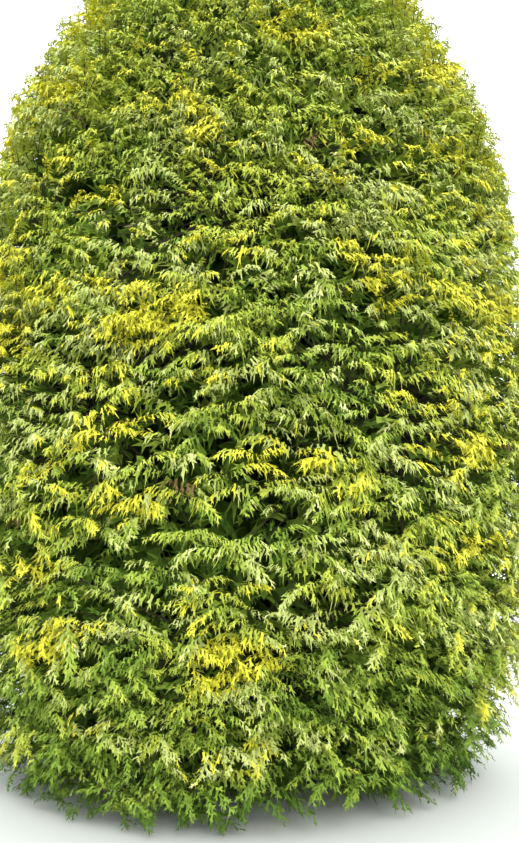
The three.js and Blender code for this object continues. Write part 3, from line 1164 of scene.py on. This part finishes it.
@dataclass(frozen=True)
class TintRule:
    """How the colours are dealt out to sprays: pale at the growing tips, green within, in slow patches.

    A spray's value is the sum of what makes it pale. Its darkening with depth inside the outline and near
    the ground is painted shade, and its lightening towards the top is painted light. The steps part the
    values into gold, lime, green, shade and inner, and some of the lime sprays turn olive or cream.
    """

    middle: float = 0.68
    outer: float = 0.34
    outer_from: float = 0.55
    branch: float = 0.14
    patch: float = 0.14
    patch_noise: SlowNoise = SlowNoise(2.6, 11)
    streak: float = 0.16
    streak_noise: SlowNoise = SlowNoise(8, 12, 2.4)
    glow: float = 1.3
    glow_noise: SlowNoise = SlowNoise(4.5, 14, 1.9)
    glow_over: float = 0.58
    glow_most: float = 0.5
    dull_under: float = -0.9
    dull_share: float = 0.7
    spray: float = 0.1
    # Darker the deeper a spray lies inside the outline: painted shade
    deep: float = 1.5
    deep_limits: Span = (-0.05, 0.3)
    tall: float = 8
    calm_top: float = 0.5
    # Darker near the ground: painted shade
    foot: float = 1.8
    foot_height: float = 0.38
    # Lighter towards the top: painted light
    high: float = 0.12
    steps: tuple[float, ...] = (0.9, 0.45, 0.12, -0.45)
    olive_noise: SlowNoise = SlowNoise(7, 15, 2)
    olive_branch: float = 0.5
    olive_top: float = 1.2
    olive_over: float = 0.15
    cream_from: float = 0.7
    cream_share: float = 0.22
    bronze_to: float = 0.8
    bronze_share: float = 0.004

    def deal(self, fronds: Fronds, places: Array, far: Array, depth: Array, chance: Chance) -> Array:
        """The tint of every spray.

        Args:
            fronds: the fronds that carry them.
            places: where the sprays sit.
            far: how far out along its frond each spray sits, from 0 to 1.
            depth: how far inside the crown's outline each spray sits.
            chance: the stream of random numbers.

        Returns:
            The place of each spray's tint in the list of tints.
        """
        height = places[..., 2]
        climbed = height / self.tall
        tone = fronds.tone[:, None]
        change = self.outer * (far - self.outer_from) + self.branch * tone
        change = change + self.patch * self.patch_noise.at(places)
        change = change + self.streak * self.streak_noise.at(places)
        noise = self.glow_noise.at(places)
        bright = np.clip(noise - self.glow_over, 0, self.glow_most)
        dull = np.clip(noise - self.dull_under, -self.glow_most, 0)
        change = change + self.glow * (bright + self.dull_share * dull)
        change = change + self.spray * chance.normal(0, 1, far.shape)
        # Painted shade: sprays deeper inside the outline are darker
        change = change - self.deep * np.clip(depth, *self.deep_limits)
        change = change * mix(1, self.calm_top, np.clip(climbed, 0, 1) ** 2)
        # Painted shade near the ground, and painted light towards the top
        value = self.middle + change - self.foot * np.exp(-height / self.foot_height) + self.high * climbed
        steps = [-step for step in self.steps]
        dealt = Tint.GOLD.place + np.searchsorted(steps, -value.ravel()).reshape(value.shape)
        paler = dealt == Tint.LIME.place
        rich = self.olive_noise.at(places) + self.olive_branch * tone + self.olive_top * climbed**2
        dealt = np.where(paler & (rich > self.olive_over), Tint.OLIVE.place, dealt)
        fresh = (far > self.cream_from) & (chance.random(far.shape) < self.cream_share)
        dealt = np.where(paler & (rich <= self.olive_over) & fresh, Tint.CREAM.place, dealt)
        old = (chance.random(len(tone)) < self.bronze_share)[:, None] & (far < self.bronze_to)
        return np.where(old, Tint.BRONZE.place, dealt)


@dataclass(frozen=True)
class InsideLayer:
    """Sprays behind the fronds, which close the crown: how many grow from a root, where, and how dark; the
    dark ones are painted shade inside the crown.

    The pairs are values at the layer's outer and inner edge, and darkness is at the crown's foot and top.
    """

    form: SprayForm
    count: int
    depths: Span
    sizes: Span
    spread: float
    clear: float
    tints: tuple[Tint, ...]
    # How dark its tints are at the crown's foot and top: painted shade
    darkness: Span


UNDER_SPRAY = SprayForm(axis_width=0.26, strand_width=0.36)
UNDER_FROND = FrondForm(pairs=8, longest=0.21, shortest=0.14)
# Sprays just behind the fronds; their darker tints, dealt more at the foot, are painted shade
DEEP = InsideLayer(
    form=SprayForm(0.24, first=0.12, strand_width=0.28, strand_forward=0.46128, strand_sideways=0.25296),
    count=7,
    depths=(0.0, 0.55),
    sizes=(0.08, 0.33),
    spread=0.2,
    clear=0.07,
    tints=(Tint.LIME, Tint.GREEN, Tint.SHADE, Tint.INNER),
    darkness=(0.7, 0.1),
)
# Large near-black sprays deep inside: painted shade that closes the gaps through the crown
HEART_SHADE = InsideLayer(
    form=SprayForm(0.34, first=0.1, strand_width=0.42, strand_forward=0.2976, strand_sideways=0.372),
    count=3,
    depths=(0.22, 1.5),
    sizes=(0.3, 0.9),
    spread=0.3,
    clear=0.2,
    tints=(Tint.INNER,),
    darkness=(1.0, 1.0),
)


@dataclass(frozen=True)
class TwigForm:
    """Where a mass's wood leaves its stem and how thick it is at both ends."""

    stem_end: float = 0.88
    stem_steps: int = 7
    stem_thinning: float = 0.45
    behind: Span = (0.2, 0.45)
    earliest: float = 0.1
    latest: Span = (0.6, 0.86)
    twig: Span = (0.0055, 0.003)
    spine: Span = (0.0045, 0.002)
    spine_share: float = 0.62
    spine_sunk: float = 0.003
    sides: int = 3
    aslant: Colour = (0.13, 0.07, 1.0)

    def mesh(self, name: str, groups: list[Pair]) -> bpy.types.Mesh:
        """Tapering twigs along paths, joined.

        Args:
            name: the mesh's name.
            groups: paths with their radii.

        Returns:
            The mesh.
        """
        points, triangles, start = [], [], 0
        for paths, radii in groups:
            forward = unit(np.gradient(paths, axis=1))
            across = unit(np.cross(forward, self.aslant))
            up = np.cross(across, forward)
            turn = (np.arange(self.sides) * 2 * np.pi / self.sides)[:, None]
            ring = across[:, :, None] * np.cos(turn) + up[:, :, None] * np.sin(turn)
            tube = paths[:, :, None] + ring * radii[:, :, None, None]
            tube[..., 2] = np.maximum(tube[..., 2], LOWEST)
            index = start + np.arange(radii.size * self.sides).reshape(*radii.shape, self.sides)
            low, high = index[:, :-1], index[:, 1:]
            low_next, high_next = np.roll(low, -1, axis=2), np.roll(high, -1, axis=2)
            triangles.append(np.stack([low, high_next, low_next], axis=-1).reshape(-1, 3))
            triangles.append(np.stack([low, high, high_next], axis=-1).reshape(-1, 3))
            triangles.append(index[:, -1, ::-1])
            points.append(tube.reshape(-1, 3))
            start += index.size
        return joined_mesh(name, points, triangles)


@dataclass(frozen=True)
class FoliagePieces:
    """The foliage of one tier: its sprays by colour, those behind them, and the twigs."""

    habit: Habit
    limbs: LimbRule
    level: int
    rule: FrondRule
    fronds: tuple[FrondForm, ...] = (FrondForm(), FrondForm(), UNDER_FROND)
    sprays: tuple[SprayForm, ...] = (SprayForm(), SprayForm(), UNDER_SPRAY)
    inside: tuple[InsideLayer, ...] = (DEEP, HEART_SHADE)
    twigs: TwigForm = TwigForm()
    tints: TintRule = TintRule()
    seed: int = 4171
    seed_steps: tuple[int, int] = (101, 13)
    missing: float = 0.04
    turn_chance: float = 0.22
    sizes: Span = (0.82, 1.2)
    curve: float = 0.3
    tilt: float = 0.25
    roll: float = 0.4
    lift: float = 0.008
    hang: float = 0.42
    hangs: Span = (0.2, 1.5)
    hang_sideways: float = 2.2
    middle: float = 0.6
    inside_rise: float = 0.6
    inside_turn: float = 0.7
    inside_fall: float = 0.3
    inside_sizes: Span = (0.8, 1.2)
    dark_chance: float = 0.3
    # Inside sprays are drawn darker near the ground: painted shade
    shade_foot: float = 0.35
    shade_foot_height: float = 0.6

    def build(self) -> list[tuple[Tint | None, bpy.types.Mesh]]:
        """The tier's meshes.

        Returns:
            Each mesh with its tint, and the twigs with none.
        """
        sprays: list[Pair] = []
        twigs: list[Pair] = []
        for mass in self.habit.masses(self.level):
            seed = self.seed + self.seed_steps[0] * mass.level + self.seed_steps[1] * mass.number
            chance = np.random.default_rng(seed)
            forks = self.rule.grow(mass, chance)
            for fronds, form, spray in zip(forks, self.fronds, self.sprays):
                sprays.append(self.outer_sprays(fronds, form, spray, chance))
            for layer in self.inside:
                sprays.append(self.inside_sprays(forks[0].root, layer, chance))
            twigs.extend(self.wood(mass, forks, chance))
        name = TIERS[self.level].name
        made: list[tuple[Tint | None, bpy.types.Mesh]] = []
        for tint in Tint:
            chosen = np.concatenate([points[dealt == tint.place] for points, dealt in sprays])
            if len(chosen):
                first = np.arange(len(chosen))[:, None, None] * chosen.shape[1]
                faces = (first + SPRAY_FACES).reshape(-1, 3)
                mesh = joined_mesh(f"foliage_{name}_{tint.value}", [chosen.reshape(-1, 3)], [faces])
                made.append((tint, mesh))
        made.append((None, self.twigs.mesh(f"twigs_{name}", twigs)))
        return made

    def outer_sprays(self, fronds: Fronds, form: FrondForm, spray: SprayForm, chance: Chance) -> Pair:
        """The sprays on the fronds.

        Args:
            fronds: the fronds of a mass.
            form: how each of them branches.
            spray: the form of their sprays.
            chance: the stream of random numbers.

        Returns:
            The points of every spray, and its tint.
        """
        starts, angles, sizes = np.array(form.shoots()).T
        flat = spray.points()
        length = fronds.length[:, None]
        shape = (len(length), len(starts))
        turn = angles + chance.normal(0, self.turn_chance, shape)
        size = (sizes * length * chance.uniform(*self.sizes, shape))[..., None]
        ahead = size * flat[:, 0]
        curve = chance.normal(0, self.curve, shape)[..., None]
        aside = size * flat[:, 1] + curve * ahead**2 / size
        cos, sin = np.cos(turn)[..., None], np.sin(turn)[..., None]
        forwards = (starts * length)[..., None] + ahead * cos - aside * sin
        sideways = ahead * sin + aside * cos
        tilt = chance.normal(0.0, self.tilt, shape)[..., None]
        roll = chance.normal(0, self.roll, shape)[..., None]
        lift = tilt * ahead + roll * aside + chance.normal(0, self.lift, shape)[..., None]
        points = fronds.fan(forwards, sideways, lift)
        hung = self.hang * self.rule.hanging(fronds.root[:, 2])[:, None]
        hung = (hung * chance.uniform(*self.hangs, shape))[..., None]
        points[..., 2] -= hung * (ahead**2 + self.hang_sideways * aside**2) / size
        middle = starts + self.middle * sizes * np.cos(angles)
        far = np.hypot(middle, self.middle * sizes * np.sin(angles)) + 0 * length
        places = points[:, :, 2]
        out, _ = self.habit.standing_out(places)
        tint = self.tints.deal(fronds, places, far, -out, chance)
        keep = (chance.random(shape) > self.missing) & (points[..., 2].min(axis=-1) > LOWEST)
        return points[keep], tint[keep]

    def inside_sprays(self, roots: Array, layer: InsideLayer, chance: Chance) -> Pair:
        """The sprays of one layer behind the fronds' roots.

        Args:
            roots: where the fronds start.
            layer: how these sprays grow.
            chance: the stream of random numbers.

        Returns:
            The points of every spray, and its tint.
        """
        shape = (len(roots), layer.count)
        height = roots[:, 2][:, None]
        outwards = unit((roots - self.habit.trunk.centre(roots[:, 2])) * (1, 1, 0))[:, None]
        across = np.cross([0.0, 0.0, 1.0], outwards)
        share = chance.random(shape)
        foot = roots[:, None] - outwards * mix(*layer.depths, share)[..., None]
        foot = foot + across * (chance.uniform(-1, 1, shape) * layer.spread)[..., None]
        foot[..., 2] += chance.uniform(-self.inside_rise, self.inside_rise, shape) * layer.spread
        forward = unit(outwards + chance.normal(0, self.inside_turn, (*shape, 3)) - (0, 0, self.inside_fall))
        side = unit(np.cross(forward, chance.normal(0, 1, (*shape, 3))))
        flat = layer.form.points()
        size = (mix(*layer.sizes, share) * chance.uniform(*self.inside_sizes, shape))[..., None, None]
        points = forward[:, :, None] * flat[:, :1] + side[:, :, None] * flat[:, 1:]
        points = foot[:, :, None] + size * points
        # Painted shade: inside sprays are darker at the crown's foot and near the ground, and lighter
        # towards the top
        dark = mix(*layer.darkness, self.habit.crown.climb(height))
        dark = dark + chance.uniform(-self.dark_chance, self.dark_chance, shape)
        dark = dark + self.shade_foot * np.exp(-height / self.shade_foot_height)
        pick = np.clip((dark * len(layer.tints)).astype(int), 0, len(layer.tints) - 1)
        tint = np.array([tint.place for tint in layer.tints])[pick]
        points[..., 2] += np.clip(self.rule.ground - points[..., 2].min(axis=-1, keepdims=True), 0, None)
        out, _ = self.habit.standing_out(points)
        keep = out.max(axis=-1) < -layer.clear
        return points[keep], tint[keep]

    def wood(self, mass: Mass, forks: list[Fronds], chance: Chance) -> list[Pair]:
        """The stem of a mass, its twigs to every root, and the fronds' own spines.

        Args:
            mass: the mass.
            forks: the groups of fronds that share their roots.
            chance: the stream of random numbers.

        Returns:
            Paths with their radii, in groups of equal count.
        """
        form = self.twigs
        path, radius = self.limbs.stem(self.habit, mass)
        roots = forks[0].root
        count = len(roots)
        stem = path.at(np.linspace(0, form.stem_end, form.stem_steps))
        radii = np.linspace(radius, radius * form.stem_thinning, form.stem_steps)
        groups = [(stem[None], radii[None])]
        chord = path.end - path.start
        along = ((roots - path.start) * chord).sum(axis=-1) / (chord**2).sum()
        along = along - chance.uniform(*form.behind, count)
        leave = path.at(np.clip(along, form.earliest, chance.uniform(*form.latest, count)))
        groups.append((np.stack([leave, roots], axis=1), form.twig * np.ones((count, 1))))
        for fronds in forks[:2]:
            share = np.array([0, form.spine_share]) * fronds.length[:, None]
            spine = fronds.fan(share, 0 * share, 0 * share - form.spine_sunk)
            groups.append((spine, form.spine * np.ones((count, 1))))
        return groups

    def dress(self, tint: Tint | None, mesh: bpy.types.Mesh, materials: dict) -> bpy.types.Object:
        """Puts one of the tier's meshes in the scene with its finish."""
        nodes = [f"foliage_{mass.label}" for mass in self.habit.masses(self.level)]
        return place_piece(mesh, materials[tint], nodes)


@dataclass(frozen=True)
class Studio:
    """The pale floor, the soft light and the camera at eye height."""

    floor_half: float = 60
    eye: tuple[float, float, float] = (0.17, -6.6, 1.6)
    pitch_up: float = 0.215
    lens: float = 29.34
    far: float = 200
    sky: Colour = (0.93, 0.97, 1.0)
    sky_strength: float = 2.95
    sun: Colour = (1.0, 0.97, 0.9)
    sun_strength: float = 1.4
    sun_softness: float = 0.5
    sun_turn: tuple[float, float, float] = (0.95, 0.1, 0.3)

    def build(self) -> None:
        """Makes the floor, the lights and the camera."""
        scene = bpy.context.scene
        floor = bmesh.new()
        bmesh.ops.create_grid(floor, x_segments=1, y_segments=1, size=self.floor_half)
        mesh = mesh_of(floor, "floor")
        mesh.materials.append(FLOOR_FINISH.material("floor paint"))
        ground = bpy.data.objects.new("floor", mesh)
        scene.collection.objects.link(ground)
        scene.world = bpy.data.worlds.new("soft sky")
        scene.world.use_nodes = True
        background = scene.world.node_tree.nodes["Background"]
        fill(background, {"Color": (*self.sky, 1), "Strength": self.sky_strength})
        lamp = bpy.data.lights.new("soft sun", "SUN")
        lamp.energy, lamp.angle, lamp.color = self.sun_strength, self.sun_softness, self.sun
        sun = bpy.data.objects.new("soft sun", lamp)
        sun.rotation_euler = self.sun_turn
        scene.collection.objects.link(sun)
        camera = bpy.data.cameras.new("camera")
        camera.lens, camera.clip_end = self.lens, self.far
        stand = bpy.data.objects.new("camera", camera)
        stand.location = self.eye
        stand.rotation_euler = (math.pi / 2 + self.pitch_up, 0, 0)
        scene.collection.objects.link(stand)
        scene.camera = stand
        scene.view_settings.view_transform = "Standard"


def main() -> None:
    """Builds the studio and the tree."""
    logging.basicConfig(level=logging.INFO, format="%(message)s")
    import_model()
    habit, limbs, bark = Habit(), LimbRule(), BarkFinish()
    Studio().build()
    trunk = TrunkPiece(habit)
    trunk.dress(trunk.build(), bark)
    materials = {tint: leaf.material(f"{tint.value} scale leaves") for tint, leaf in LEAF_FINISHES.items()}
    materials[None] = TWIG_FINISH.material("twig bark")
    for level, tier in enumerate(TIERS):
        if tier.bough_rise is not None:
            boughs = BoughPieces(habit, limbs, level)
            boughs.dress(boughs.build(), bark)
        foliage = FoliagePieces(habit, limbs, level, FrondRule(habit))
        for tint, mesh in foliage.build():
            foliage.dress(tint, mesh, materials)
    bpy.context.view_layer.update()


if __name__ == "__main__":
    main()
